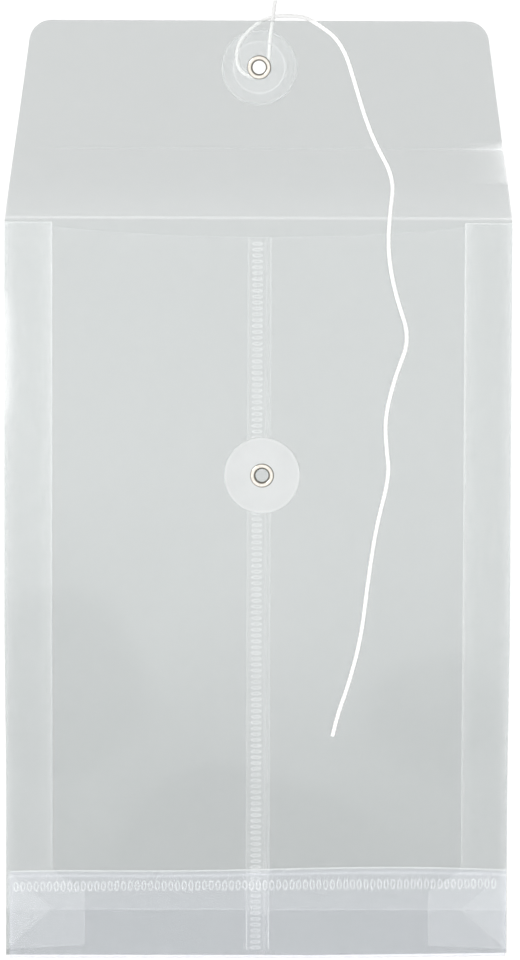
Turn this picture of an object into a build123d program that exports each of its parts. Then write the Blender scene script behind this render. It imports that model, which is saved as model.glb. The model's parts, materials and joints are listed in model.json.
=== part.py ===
from build123d import *

import os
from math import atan2, cos, degrees, pi, radians, sin, tan

# String tie envelope, lying open on its back, in millimetres.
# X runs across the envelope, Y from the bottom fold to the flap, Z up from the table.
# The body is one blank of clear film: back panel, two front halves lapped at a welded
# centre seam, two pleated gussets, a bottom flap folded up over the front, and a scored flap.

# Film
film = 0.20                 # thickness of the film
ply_gap = 0.05              # air between two neighbouring plies
score_width = 0.6           # groove of the second score line
score_depth = 0.08

# Body
body_width = 158.75
body_length = 233.0         # mouth crease to bottom fold
mouth_gape = 6.0            # clear height of the pocket at the mouth crease
bottom_gape = 0.9           # clear height of the pocket at the bottom fold
mouth_dip_side = 1.5        # front edge below the crease, at the sides
mouth_dip_centre = 6.2      # front edge below the crease, at the middle
gusset_depth = 14.85        # one gusset leaf, seen from above
lip_height = 14.2           # lower edge of the front halves above the bottom fold
seam_centre = 0.3           # middle of the lapped seam, to the right of the centre line
seam_lap = 7.4              # overlap of the two front halves
seam_foot = 2.6             # lower end of the lapped seam above the bottom fold

# Bottom flap and tucked gusset ends
hem_height_left = 26.3      # top edge of the bottom flap above the bottom fold
hem_height_crest = 28.2
hem_height_right = 26.9
hem_crest_x = 35.0          # where its gentle wave is highest
hem_inset_left = 1.25       # ends of the bottom flap, in from the sides
hem_inset_right = 0.35
tuck_reach = 24.9           # inner edge of a tuck, in from the side
tuck_low = 2.8              # inner edge of a tuck above the bottom fold
tuck_high = 19.6
tuck_top_gap = 0.5          # between a gusset's lower end and its tuck
tuck_corner = 1.6           # lower outer corner of a tuck above the bottom fold

# Heat welds, raised ovals on the outer ply
weld_height = 0.10
seam_weld_long = 3.5        # across the seam
seam_weld_short = 1.3
seam_weld_pitch = 1.84
seam_weld_x = -0.33
hem_weld_long = 3.0         # up the hem
hem_weld_short = 1.5
hem_weld_pitch = 2.13
hem_weld_row = 22.2         # row above the bottom fold
weld_margin = 2.0           # from the ends of a row to the film's edge
weld_sides = 6

# Flap
flap_height = 61.7
flap_top_width = 142.3
flap_corner = 6.0           # radius of its two top corners
first_score = 11.0          # score lines above the crease
second_score = 21.75
crease_gap = 0.05           # each side of a folding line

# Buttons
button_diameter = 23.8
button_thickness = 0.7
button_edge = 0.22          # bevel of the rims
washer_diameter = 16.6
washer_thickness = 0.4
flap_button_rise = 47.1     # above the crease
body_button_drop = 80.8     # below the crease
body_button_x = 1.25
string_room = 1.4           # under a button, for the string

# Eyelets
eyelet_bore = 4.05
eyelet_wall = 0.3
flange_diameter = 7.5
flange_thickness = 0.35
rim_diameter = 7.2
rim_thickness = 0.35
flange_edge = 0.20          # bevel of the flange and rim
seat_gap = 0.05             # eyelet to what it clamps
turn_clearance = 0.05       # radial, button on its eyelet
hole_clearance = 0.10       # radial, film and washer on the barrel

# String
string_diameter = 1.2
string_sides = 8
string_clearance = 0.10     # string to the film or barrel beside it
floor_clearance = 0.05      # flap button above the table

# Places worked out from the sizes
half_width = body_width / 2
barrel_radius = eyelet_bore / 2 + eyelet_wall
front_slope = atan2(mouth_gape - bottom_gape, body_length)
button_depth = film + string_room + button_thickness
button_near_edge = flap_button_rise - button_diameter / 2
flap_tilt = atan2(button_depth - film + floor_clearance, button_near_edge)
flap_reach = flap_height * cos(flap_tilt) + film * sin(flap_tilt)
crease_y = (body_length - flap_reach) / 2
bottom_y = crease_y - body_length
front_face = 2 * film + ply_gap
hem_lift = front_face + weld_height + ply_gap
string_offset = string_diameter / 2 + string_clearance

# Working planes: the flap's inner face and the underside of the front halves.
# In both, local y points to the flap's tip and local z to the viewer.
flap_plane = Plane((0, crease_y, film), (1, 0, 0), (0, -sin(flap_tilt), cos(flap_tilt)))
front_plane = Plane((0, crease_y, film + mouth_gape), (1, 0, 0), (0, -sin(front_slope), cos(front_slope)))


def plate(outline, thickness=film):
    """Return a flat sheet on the face `outline`, growing along +z."""
    return extrude(outline, amount=thickness)


def polygon(points):
    """Return the face inside a closed run of points."""
    return make_face(Polyline(*points, close=True))


def hole(x, y, radius):
    """Return a cutter long enough for every stack of plies."""
    return Pos(x, y) * Cylinder(radius, 4 * button_depth)


def gape(y_below):
    """Return the pocket's clear height at a distance below the mouth crease."""
    return mouth_gape - y_below * tan(front_slope)


def back_panel():
    """Return the back wall, from the bottom fold to the mouth crease."""
    length = body_length - fold_radius()
    return Pos(0, crease_y - length / 2) * plate(Rectangle(body_width, length))


def front_outline():
    """Return the whole front wall's face, with its shallow dip at the mouth and the seam's foot."""
    lower = lip_height - body_length
    foot = seam_foot - body_length
    seam_left = seam_centre - seam_lap / 2
    seam_right = seam_centre + seam_lap / 2
    left_top = (-half_width, -mouth_dip_side)
    right_top = (half_width, -mouth_dip_side)
    mouth = ThreePointArc(left_top, (0, -mouth_dip_centre), right_top)
    sides = Polyline(
        right_top, (half_width, lower), (seam_right, lower), (seam_right, foot),
        (seam_left, foot), (seam_left, lower), (-half_width, lower), left_top,
    )
    return make_face([mouth, sides])


def front_half(inner_x, side, level):
    """Return one front half, from its outer edge to `inner_x`, on ply `level`."""
    outer_x = side * half_width
    window = Pos((inner_x + outer_x) / 2, -body_length / 2)
    window *= Rectangle(abs(outer_x - inner_x), 2 * body_length)
    sheet = Pos(0, 0, level * (film + ply_gap)) * plate(front_outline() & window)
    return front_plane * (sheet - hole(body_button_x, -body_button_drop, barrel_radius + hole_clearance))


def gusset_leaf(side, is_front):
    """Return one leaf of a pleated gusset, tapering with the pocket to the bottom."""
    lift = film + ply_gap if side > 0 else 0
    outer = side * half_width
    inner = side * (half_width - gusset_depth)
    sections = []
    for below in (mouth_dip_side, body_length - hem_height_left - tuck_top_gap):
        height = gape(below) + lift
        middle = film + height / 2
        edge = film + height - ply_gap - film if is_front else film + ply_gap
        fold = middle + ply_gap / 2 if is_front else middle - ply_gap / 2 - film
        y = crease_y - below
        corners = [(outer, y, edge), (outer, y, edge + film), (inner, y, fold + film), (inner, y, fold)]
        sections.append(polygon(corners))
    return loft(sections, ruled=True)


def bottom_tuck(side):
    """Return a gusset's lower end, tucked flat inside the bottom flap with its two diagonal folds."""
    top = bottom_y + hem_height_left
    outer = half_width
    fold = half_width - gusset_depth
    inner = half_width - tuck_reach
    outline = [
        (outer, bottom_y + tuck_corner),
        (inner, bottom_y + tuck_low),
        (inner, bottom_y + tuck_high),
        (fold, top),
        (outer, top),
        (fold, bottom_y + lip_height),
    ]
    face = polygon([(side * x, y) for x, y in outline])
    return Pos(0, 0, film + ply_gap) * plate(face)


def hem_point(below, level):
    """Return (y, z) on the bottom flap, `level` above its inner face, below the crease."""
    spot = front_plane.from_local_coords((0, -below, hem_lift + level))
    return spot.Y, spot.Z


def fold_radius():
    """Return half the height of the stack at the bottom fold."""
    return (film + bottom_gape + hem_lift + film) / 2


def bottom_flap():
    """Return the flap folded up from the back panel over the front halves."""
    radius = fold_radius()
    start_y = bottom_y + radius
    outer_start = hem_point(body_length - radius, film)
    inner_start = hem_point(body_length - radius, 0)
    outer_tip = hem_point(body_length - hem_height_crest, film)
    inner_tip = hem_point(body_length - hem_height_crest, 0)
    outer_fold = ThreePointArc((start_y, 0), (bottom_y, radius), outer_start)
    leaf = Polyline(outer_start, outer_tip, inner_tip, inner_start)
    inner_fold = ThreePointArc(inner_start, (bottom_y + film, radius), (start_y, film))
    profile = make_face([outer_fold, leaf, inner_fold, Line((start_y, film), (start_y, 0))])
    left = -half_width + hem_inset_left
    right = half_width - hem_inset_right
    bent = Pos(left) * extrude(Plane.YZ * profile, amount=right - left)
    left_top = (left, bottom_y + hem_height_left)
    right_top = (right, bottom_y + hem_height_right)
    wave = ThreePointArc(left_top, (hem_crest_x, bottom_y + hem_height_crest), right_top)
    low = bottom_y - radius
    frame = Polyline(right_top, (right, low), (left, low), left_top)
    return bent & extrude(make_face([wave, frame]), amount=body_length)


def weld_oval(length_x, length_y):
    """Return one raised weld with a few-sided oval outline, sitting on z = 0."""
    turns = [2 * pi * (step + 0.5) / weld_sides for step in range(weld_sides)]
    outline = [(length_x / 2 * cos(turn), length_y / 2 * sin(turn)) for turn in turns]
    return plate(polygon(outline), weld_height)


def row_count(length, pitch):
    """Return how many welds at `pitch` fit on a row of this length."""
    return int(length / pitch) + 1


def seam_welds():
    """Return the welds down the centre seam, clear of the eyelet's hole."""
    oval = weld_oval(seam_weld_long, seam_weld_short)
    first = mouth_dip_centre + weld_margin
    last = body_length - seam_foot - weld_margin
    keep_off = flange_diameter / 2 + seam_weld_short
    drops = [first + step * seam_weld_pitch for step in range(row_count(last - first, seam_weld_pitch))]
    clear = [drop for drop in drops if abs(drop - body_button_drop) > keep_off]
    return Compound([front_plane * Pos(seam_weld_x, -drop, front_face) * oval for drop in clear])


def hem_welds():
    """Return the row of upright welds along the bottom flap."""
    oval = weld_oval(hem_weld_short, hem_weld_long)
    first = -half_width + hem_inset_left + weld_margin
    last = half_width - hem_inset_right - weld_margin
    drop = body_length - hem_weld_row
    spots = [first + step * hem_weld_pitch for step in range(row_count(last - first, hem_weld_pitch))]
    return Compound([front_plane * Pos(x, -drop, hem_lift + film) * oval for x in spots])


def flap_outline():
    """Return the whole flap's face: tapered sides and two round top corners."""
    half_top = flap_top_width / 2
    corners = [(-half_width, 0), (half_width, 0), (half_top, flap_height), (-half_top, flap_height)]
    face = polygon(corners)
    tips = [corner for corner in face.vertices() if corner.Y > flap_height / 2]
    return fillet(tips, flap_corner)


def flap_strip(low, high):
    """Return the part of the flap between two heights above the crease."""
    window = Pos(0, (low + high) / 2) * Rectangle(2 * body_width, high - low)
    return Pos(0, 0, -film) * plate(flap_outline() & window)


def flap_shoulder():
    """Return the strip between the mouth crease and the first score line."""
    return flap_plane * flap_strip(crease_gap, first_score - crease_gap)


def flap_tongue():
    """Return the rest of the flap, with the second score line and the eyelet's hole."""
    sheet = flap_strip(first_score + crease_gap, flap_height)
    sheet -= Pos(0, second_score) * Box(2 * body_width, score_width, 2 * score_depth)
    return flap_plane * (sheet - hole(0, flap_button_rise, barrel_radius + hole_clearance))


def ring(diameter, bore_radius, thickness, edge):
    """Return a flat ring on z = 0 with its outer rims eased by a bevel."""
    disc = Pos(0, 0, thickness / 2) * (Cylinder(diameter / 2, thickness) - Cylinder(bore_radius, thickness))
    rims = [rim for rim in disc.edges() if rim.geom_type == GeomType.CIRCLE and rim.radius > bore_radius]
    return chamfer(rims, edge)


def button():
    """Return a button disc, standing on z = 0."""
    return ring(button_diameter, barrel_radius + turn_clearance, button_thickness, button_edge)


def washer():
    """Return the smaller washer behind the film, standing on z = 0."""
    return ring(washer_diameter, barrel_radius + hole_clearance, washer_thickness, washer_thickness / 3)


def eyelet(grip):
    """Return an eyelet: a domed flange above z = 0, a barrel `grip` long and a rolled rim below."""
    bore = eyelet_bore / 2
    low = -grip - rim_thickness
    profile = polygon([
        (bore, flange_thickness),
        (flange_diameter / 2, flange_thickness),
        (flange_diameter / 2, 0),
        (barrel_radius, 0),
        (barrel_radius, -grip),
        (rim_diameter / 2, -grip),
        (rim_diameter / 2, low),
        (bore, low),
    ])
    half_edge = flange_edge / 2
    rims = [corner for corner in profile.vertices() if not -grip - half_edge < corner.Y < half_edge]
    return revolve(Plane.XZ * chamfer(rims, flange_edge), Axis.Z)


def corner_radii(points):
    """Return each inner point's tangent radius: 0.45 of the shorter run over tan(half the turn)."""
    radii = []
    for before, here, after in zip(points, points[1:], points[2:]):
        arriving = here - before
        leaving = after - here
        half_turn = radians(arriving.get_angle(leaving)) / 2
        radii.append(0.45 * min(arriving.length, leaving.length) / tan(half_turn))
    return radii


def string_along(path):
    """Return a string with a few-sided section, swept along a path."""
    outline = RegularPolygon(string_diameter / 2, string_sides)
    section = Plane(path @ 0, x_dir=(0, 0, 1), z_dir=path % 0) * outline
    return sweep(section, path=path), section.area


def string_tube(name, points):
    """Return the string along straight runs joined by tangent arcs, and print its figures."""
    radii = corner_radii(points)
    path = FilletPolyline(*points, radius=radii)
    tube, area = string_along(path)
    ratio = tube.volume / (area * path.length)
    shown = [round(radius, 1) for radius in radii]
    print(f"{name}: length {path.length:.1f}, radii {shown}, volume over section by length {ratio:.4f}")
    return tube


def middle(first, second):
    """Return the point halfway along a run."""
    return (first + second) * 0.5


def on_flap(points):
    """Return points given as (x, height above the crease, offset from the flap's inner face)."""
    return [flap_plane.from_local_coords(point) for point in points]


def on_front(points):
    """Return points given as (x, distance below the crease), lying on the front's outer face."""
    return [front_plane.from_local_coords((x, -below, front_face + string_offset)) for x, below in points]


# The string, from its short tail round the flap's eyelet to the long free end.
# Under the film it lies between the flap and its button, then it rounds the flap's top edge.
under = -film - string_offset
over = string_offset
turn_radius = barrel_radius + string_offset
turn_low = flap_button_rise - turn_radius
tail_route = on_flap([
    (4.9, 67.9, -1.4),
    (4.2, 62.0, under),
    (turn_radius, 54.0, under),
    (turn_radius, flap_button_rise, under),
])
upper_route = on_flap([
    (0, turn_low, under),
    (-3.2, turn_low, under),
    (-6.3, 46.3, under),
    (-7.3, 50.6, under),
    (-6.2, 55.2, under),
    (-3.0, 58.8, under),
    (0.5, 61.6, -1.5),
    (5.0, 63.1, -2.7),
    (10.0, 63.2, -0.9),
    (14.6, 62.7, 0.8),
    (19.2, 60.0, over),
    (24.2, 56.2, over),
    (27.4, 50.6, over),
    (29.6, 43.6, over),
    (32.9, 32.6, over),
    (36.4, 23.6, over),
    (42.6, 12.5, over),
])
mouth_rise = Vector(40.4, crease_y - 4.0, film + mouth_gape + 1.55)
lower_route = on_front([
    (41.0, 15.0),
    (43.4, 25.5),
    (47.6, 37.8),
    (43.0, 49.5),
    (39.8, 62.5),
    (40.3, 72.0),
    (41.4, 81.0),
    (37.2, 97.0),
    (34.6, 115.5),
    (32.6, 132.5),
    (28.6, 147.5),
    (25.3, 156.5),
    (23.8, 163.2),
])
leave_flap = middle(upper_route[-2], upper_route[-1])
reach_front = middle(mouth_rise, lower_route[0])


def string_turn():
    """Return the part of the string that goes round the eyelet's barrel, under the flap."""
    arc = CenterArc((0, flap_button_rise, under), turn_radius, 0, -90)
    tube, _ = string_along(flap_plane * arc)
    return tube


def flap_hardware():
    """Return the button, washer and eyelet on the flap."""
    seat = flap_plane * Pos(0, flap_button_rise)
    washer_top = ply_gap + washer_thickness
    grip = 2 * seat_gap + washer_top + button_depth
    return {
        "flap_button": seat * Pos(0, 0, -button_depth) * button(),
        "flap_backing_washer": seat * Pos(0, 0, ply_gap) * washer(),
        "flap_eyelet": seat * Pos(0, 0, washer_top + seat_gap) * eyelet(grip),
    }


def body_hardware():
    """Return the button, washer and eyelet on the front of the body."""
    seat = front_plane * Pos(body_button_x, -body_button_drop)
    button_base = front_face + string_room
    button_top = button_base + button_thickness
    washer_base = -ply_gap - washer_thickness
    grip = 2 * seat_gap + button_top - washer_base
    return {
        "body_button": seat * Pos(0, 0, button_base) * button(),
        "body_backing_washer": seat * Pos(0, 0, washer_base) * washer(),
        "body_eyelet": seat * Pos(0, 0, button_top + seat_gap) * eyelet(grip),
    }


def film_body():
    """Return the folded and welded film pieces."""
    return {
        "back_panel": back_panel(),
        "front_panel_left": front_half(seam_centre + seam_lap / 2, -1, 0),
        "front_panel_right": front_half(seam_centre - seam_lap / 2, 1, 1),
        "left_gusset_back_leaf": gusset_leaf(-1, False),
        "left_gusset_front_leaf": gusset_leaf(-1, True),
        "right_gusset_back_leaf": gusset_leaf(1, False),
        "right_gusset_front_leaf": gusset_leaf(1, True),
        "left_bottom_tuck": bottom_tuck(-1),
        "right_bottom_tuck": bottom_tuck(1),
        "bottom_flap": bottom_flap(),
        "seam_welds": seam_welds(),
        "hem_welds": hem_welds(),
        "flap_shoulder": flap_shoulder(),
        "flap_tongue": flap_tongue(),
    }


def tie_string():
    """Return the string's stretches, each meeting the next face to face."""
    bridge = [leave_flap, upper_route[-1], mouth_rise, reach_front]
    return {
        "string_tail": string_tube("string_tail", tail_route),
        "string_turn": string_turn(),
        "string_upper": string_tube("string_upper", upper_route[:-1] + [leave_flap]),
        "string_bridge": string_tube("string_bridge", bridge),
        "string_lower": string_tube("string_lower", [reach_front] + lower_route),
    }


def main():
    """Write every piece and print the places that the record needs."""
    os.makedirs("parts", exist_ok=True)
    pieces = film_body() | flap_hardware() | body_hardware() | tie_string()
    for name, piece in pieces.items():
        export_step(piece, f"parts/{name}.step")
    score = flap_plane.from_local_coords((0, first_score, 0))
    flap_pin = flap_plane.from_local_coords((0, flap_button_rise, 0))
    body_pin = front_plane.from_local_coords((body_button_x, -body_button_drop, 0))
    tilts = f"flap tilt {degrees(flap_tilt):.4f}, front slope {degrees(front_slope):.4f}"
    print(f"crease y {crease_y:.4f}, {tilts}")
    print("score axis", score, "flap eyelet", flap_pin, flap_plane.z_dir)
    print("body eyelet", body_pin, front_plane.z_dir)


main()
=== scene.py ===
"""Dresses the string tie envelope: clear film, milky buttons, nickel eyelets and a twisted tie string."""
from __future__ import annotations

import json
import logging
import math
from dataclasses import dataclass
from enum import Enum
from typing import Callable, Iterable, Sequence

import bmesh
import bpy
from mathutils import Matrix, Vector

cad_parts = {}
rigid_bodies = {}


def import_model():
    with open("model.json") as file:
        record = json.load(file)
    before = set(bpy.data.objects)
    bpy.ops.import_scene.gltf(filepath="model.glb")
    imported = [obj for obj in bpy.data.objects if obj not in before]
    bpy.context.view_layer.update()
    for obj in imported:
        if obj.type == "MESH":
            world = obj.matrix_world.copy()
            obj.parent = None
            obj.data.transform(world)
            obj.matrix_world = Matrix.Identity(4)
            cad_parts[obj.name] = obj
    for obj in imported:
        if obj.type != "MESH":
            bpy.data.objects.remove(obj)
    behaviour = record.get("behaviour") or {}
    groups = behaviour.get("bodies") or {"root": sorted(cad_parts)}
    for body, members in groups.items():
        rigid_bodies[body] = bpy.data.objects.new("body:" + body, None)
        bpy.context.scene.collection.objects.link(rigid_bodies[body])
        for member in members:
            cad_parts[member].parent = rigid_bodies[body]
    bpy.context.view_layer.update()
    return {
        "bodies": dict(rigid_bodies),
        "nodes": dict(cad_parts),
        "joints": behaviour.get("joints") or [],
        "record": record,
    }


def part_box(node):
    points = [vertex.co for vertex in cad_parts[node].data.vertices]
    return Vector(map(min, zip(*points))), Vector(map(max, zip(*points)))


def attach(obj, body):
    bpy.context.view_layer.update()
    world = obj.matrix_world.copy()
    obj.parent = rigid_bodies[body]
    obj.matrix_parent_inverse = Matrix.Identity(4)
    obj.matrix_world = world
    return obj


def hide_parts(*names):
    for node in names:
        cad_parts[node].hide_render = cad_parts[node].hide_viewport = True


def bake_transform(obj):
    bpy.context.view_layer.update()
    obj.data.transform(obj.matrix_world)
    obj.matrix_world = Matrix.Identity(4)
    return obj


LOG = logging.getLogger("string_tie_envelope")
MM = 0.001
# mesh attribute of the pale marks along folds and edges: crease whitening together with painted highlights
CREASE_WHITE_AND_SHEEN = "creased"
SHARP_TURN = math.radians(60.0)
CUT_TOLERANCE = 1e-8
MERGE_TOLERANCE = 1e-7
PLY_GAP = 0.05 * MM
FLAP_TOP_HALF = 71.15 * MM
FILM_HOLE = 2.425 * MM
FLAP_EYELET = (0.0, 47.1 * MM)
BODY_EYELET = (1.25 * MM, -80.8 * MM)

Point2 = tuple[float, float]
Point3 = tuple[float, float, float]
Colour = tuple[float, float, float, float]
Place = Callable[[float, float], Vector]
Shade = Callable[[float, float], float]
Socket = bpy.types.NodeSocket
Material = bpy.types.Material
Piece = bpy.types.Object


class Side(Enum):
    """Which side of the envelope a paired piece is on, as the sign of its X."""

    LEFT = -1
    RIGHT = 1


class Edge(Enum):
    """An edge of a flat blank."""

    LOW = "low"
    HIGH = "high"
    LEFT = "left"
    RIGHT = "right"


class Axis(Enum):
    """A cutting direction in the flat blank."""

    ACROSS = (1.0, 0.0, 0.0)
    ALONG = (0.0, 1.0, 0.0)


@dataclass(frozen=True)
class WorkPlane:
    """A flat plane of the envelope: local x is the frame's X, local y points to the flap's tip."""

    origin: Vector
    along: Vector
    normal: Vector

    def at(self, x: float, y: float, lift: float = 0.0) -> Vector:
        """Return the frame point at local x, y and a lift along the normal."""
        return self.origin + Vector((x, 0.0, 0.0)) + self.along * y + self.normal * lift

    def matrix(self, x: float, y: float, lift: float = 0.0) -> Matrix:
        """Return the matrix that takes a shape built about local Z to a spot on the plane.

        Args:
            x: the spot's local x.
            y: the spot's local y.
            lift: the spot's height along the normal.

        Returns:
            The matrix from the shape's own axes to the frame.
        """
        across = self.along.cross(self.normal)
        turn = Matrix((across, self.along, self.normal)).transposed().to_4x4()
        return Matrix.Translation(self.at(x, y, lift)) @ turn


@dataclass(frozen=True)
class Layout:
    """The envelope's planes and driving sizes, in metres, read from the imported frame."""

    film: float
    ply_gap: float
    half_width: float
    body_length: float
    flap_height: float
    flap_top_half: float
    first_score: float
    front: WorkPlane
    flap: WorkPlane
    table: WorkPlane

    @classmethod
    def from_frame(cls, frame: dict) -> Layout:
        """Work the planes out from the joints and the nodes' boxes.


        Returns:
            The layout of the envelope at rest.
        """
        joints = {joint["name"]: joint for joint in frame["joints"]}
        crease = Vector(joints["flap_fold"]["pos_m"])
        score = Vector(joints["flap_score"]["pos_m"])
        flap_along = (score - crease).normalized()
        across = Vector((1.0, 0.0, 0.0))
        flap = WorkPlane(crease, flap_along, across.cross(flap_along))
        pin = Vector(joints["body_button_turn"]["pos_m"])
        front_normal = Vector(joints["body_button_turn"]["axis"]).normalized()
        front_along = front_normal.cross(across)
        to_crease = (crease.y - pin.y) / front_along.y
        front_origin = pin + front_along * to_crease
        front_origin.x = 0.0
        low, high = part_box("back_panel")
        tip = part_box("flap_tongue")[1]
        return cls(
            film=high[2] - low[2],
            ply_gap=PLY_GAP,
            half_width=high[0],
            body_length=crease.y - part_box("bottom_flap")[0][1],
            flap_height=(tip[2] - crease.z) / flap_along.z,
            flap_top_half=FLAP_TOP_HALF,
            first_score=(score - crease).length,
            front=WorkPlane(front_origin, front_along, front_normal),
            flap=flap,
            table=WorkPlane(Vector((0.0, crease.y, 0.0)), Vector((0.0, 1.0, 0.0)), Vector((0.0, 0.0, 1.0))),
        )


class NodeDesk:
    """One material's node tree, with short ways to add and join nodes."""

    def __init__(self, name: str) -> None:
        """Start an empty material with a Principled shader and its output.

        Args:
            name: the material's name.
        """
        self.material = bpy.data.materials.new(name)
        self.material.use_nodes = True
        self.tree = self.material.node_tree
        self.tree.nodes.clear()
        self.shader = self.add("ShaderNodeBsdfPrincipled")
        output = self.add("ShaderNodeOutputMaterial")
        self.join(self.shader.outputs["BSDF"], output.inputs["Surface"])
        self.coords = self.add("ShaderNodeTexCoord").outputs["Object"]

    def add(self, kind: str, **settings: object) -> bpy.types.Node:
        """Add a node and set its plain properties.

        Args:
            kind: the node's type.
            settings: properties of the node by name.

        Returns:
            The new node.
        """
        node = self.tree.nodes.new(kind)
        for key, value in settings.items():
            setattr(node, key, value)
        return node

    def join(self, source: Socket, target: Socket) -> None:
        """Link two sockets."""
        self.tree.links.new(source, target)

    def set(self, **values: object) -> None:
        """Set constant values on the shader's own sockets, with underscores for spaces."""
        for key, value in values.items():
            self.shader.inputs[key.replace("_", " ")].default_value = value

    def axis(self, name: str) -> Socket:
        """Return one axis of the Object coordinates.

        Args:
            name: X, Y or Z.

        Returns:
            The coordinate's socket.
        """
        split = self.add("ShaderNodeSeparateXYZ")
        self.join(self.coords, split.inputs["Vector"])
        return split.outputs[name]

    def noise(self, scale: float, detail: float = 3.0, stretch: Point3 = (1.0, 1.0, 1.0)) -> Socket:
        """Return a soft noise on Object coordinates.

        Args:
            scale: lumps per metre.
            detail: octaves.
            stretch: scale of each axis before the noise.

        Returns:
            The noise factor's socket.
        """
        mapping = self.add("ShaderNodeMapping")
        mapping.inputs["Scale"].default_value = stretch
        self.join(self.coords, mapping.inputs["Vector"])
        texture = self.add("ShaderNodeTexNoise")
        texture.inputs["Scale"].default_value = scale
        texture.inputs["Detail"].default_value = detail
        self.join(mapping.outputs["Vector"], texture.inputs["Vector"])
        return texture.outputs["Fac"]

    def remap(self, value: Socket, span: Point2, to: Point2, easing: str = "SMOOTHSTEP") -> Socket:
        """Return a value carried from one range to another and held at both ends.

        Args:
            value: the value's socket.
            span: the range that it comes from, low end first.
            to: what it becomes at the two ends of that range.
            easing: how it runs between them.

        Returns:
            The new value's socket.
        """
        node = self.add("ShaderNodeMapRange", interpolation_type=easing)
        for name, level in zip(("From Min", "From Max", "To Min", "To Max"), (*span, *to)):
            node.inputs[name].default_value = level
        self.join(value, node.inputs["Value"])
        return node.outputs["Result"]

    def added(self, base: Socket, value: Socket, factor: float, clamp: bool = False) -> Socket:
        """Return a base with a share of another value added to it.

        Args:
            base: the socket that is added to.
            value: the socket that is added.
            factor: how much of it is added.
            clamp: whether the sum is kept from 0 to 1.

        Returns:
            The sum's socket.
        """
        node = self.add("ShaderNodeMath", operation="MULTIPLY_ADD", use_clamp=clamp)
        node.inputs[1].default_value = factor
        self.join(value, node.inputs[0])
        self.join(base, node.inputs[2])
        return node.outputs["Value"]

    def mixed(self, factor: Socket, colour: Socket, other: Colour) -> Socket:
        """Return a colour that turns into another with a factor.

        Args:
            factor: 0 for the first colour, 1 for the other.
            colour: the first colour's socket.
            other: the other colour.

        Returns:
            The mixed colour's socket.
        """
        node = self.add("ShaderNodeMix", data_type="RGBA")
        self.join(factor, node.inputs["Factor"])
        self.join(colour, node.inputs["A"])
        node.inputs["B"].default_value = other
        return node.outputs["Result"]

    def ramp(self, factor: Socket, stops: Sequence[tuple[float, Colour]], easing: str = "LINEAR") -> Socket:
        """Return a colour ramp over a factor.

        Args:
            factor: the socket that runs along the ramp.
            stops: the ramp's stops as (place, colour).
            easing: how the colours run from stop to stop.

        Returns:
            The colour's socket.
        """
        node = self.add("ShaderNodeValToRGB")
        node.color_ramp.interpolation = easing
        while len(node.color_ramp.elements) < len(stops):
            node.color_ramp.elements.new(1.0)
        for element, (place, colour) in zip(node.color_ramp.elements, stops):
            element.position = place
            element.color = colour
        self.join(factor, node.inputs["Fac"])
        return node.outputs["Color"]

    def bump(self, height: Socket, strength: float, distance: float) -> None:
        """Bump the shader's normal by a height.

        Args:
            height: the height's socket.
            strength: how much of the bump shows.
            distance: the bump's full height.
        """
        node = self.add("ShaderNodeBump")
        node.inputs["Strength"].default_value = strength
        node.inputs["Distance"].default_value = distance
        self.join(height, node.inputs["Height"])
        self.join(node.outputs["Normal"], self.shader.inputs["Normal"])


def grey(level: float, cool: float = 0.01) -> Colour:
    """Return a faintly cool grey of a linear level."""
    return (level - cool, level, level, 1.0)


def tinted(level: float, less_red: float, more_blue: float) -> Colour:
    """Return a grey of a linear level with less red and more blue."""
    return (max(0.0, level - less_red), level, level + more_blue, 1.0)


@dataclass(frozen=True)
class PaintedReflection:
    """A painted reflection: a soft patch hazed as if it lay lower down, a dark one, or higher up for a
    depth below zero, a bright one.
    """

    centre: Vector
    reach: Point2
    depth: float
    wobble: float = 2.2
    rim: Point2 = (1.92, 2.28)

    def mask(self, desk: NodeDesk) -> Socket:
        """Return the painted reflection's depth inside it and 0 outside, with a rim that a noise wobbles.

        Args:
            desk: the film's node tree.

        Returns:
            The depth's socket.
        """
        spread = (1.0 / self.reach[0], 1.0 / self.reach[1], 0.0)
        mapping = desk.add("ShaderNodeMapping")
        mapping.inputs["Scale"].default_value = spread
        mapping.inputs["Location"].default_value = [-at * by for at, by in zip(self.centre, spread)]
        desk.join(desk.coords, mapping.inputs["Vector"])
        away = desk.add("ShaderNodeVectorMath", operation="LENGTH")
        desk.join(mapping.outputs["Vector"], away.inputs[0])
        wavy = desk.added(away.outputs["Value"], desk.noise(scale=14.0, detail=1.0), self.wobble)
        return desk.remap(wavy, self.rim, (self.depth, 0.0))


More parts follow.
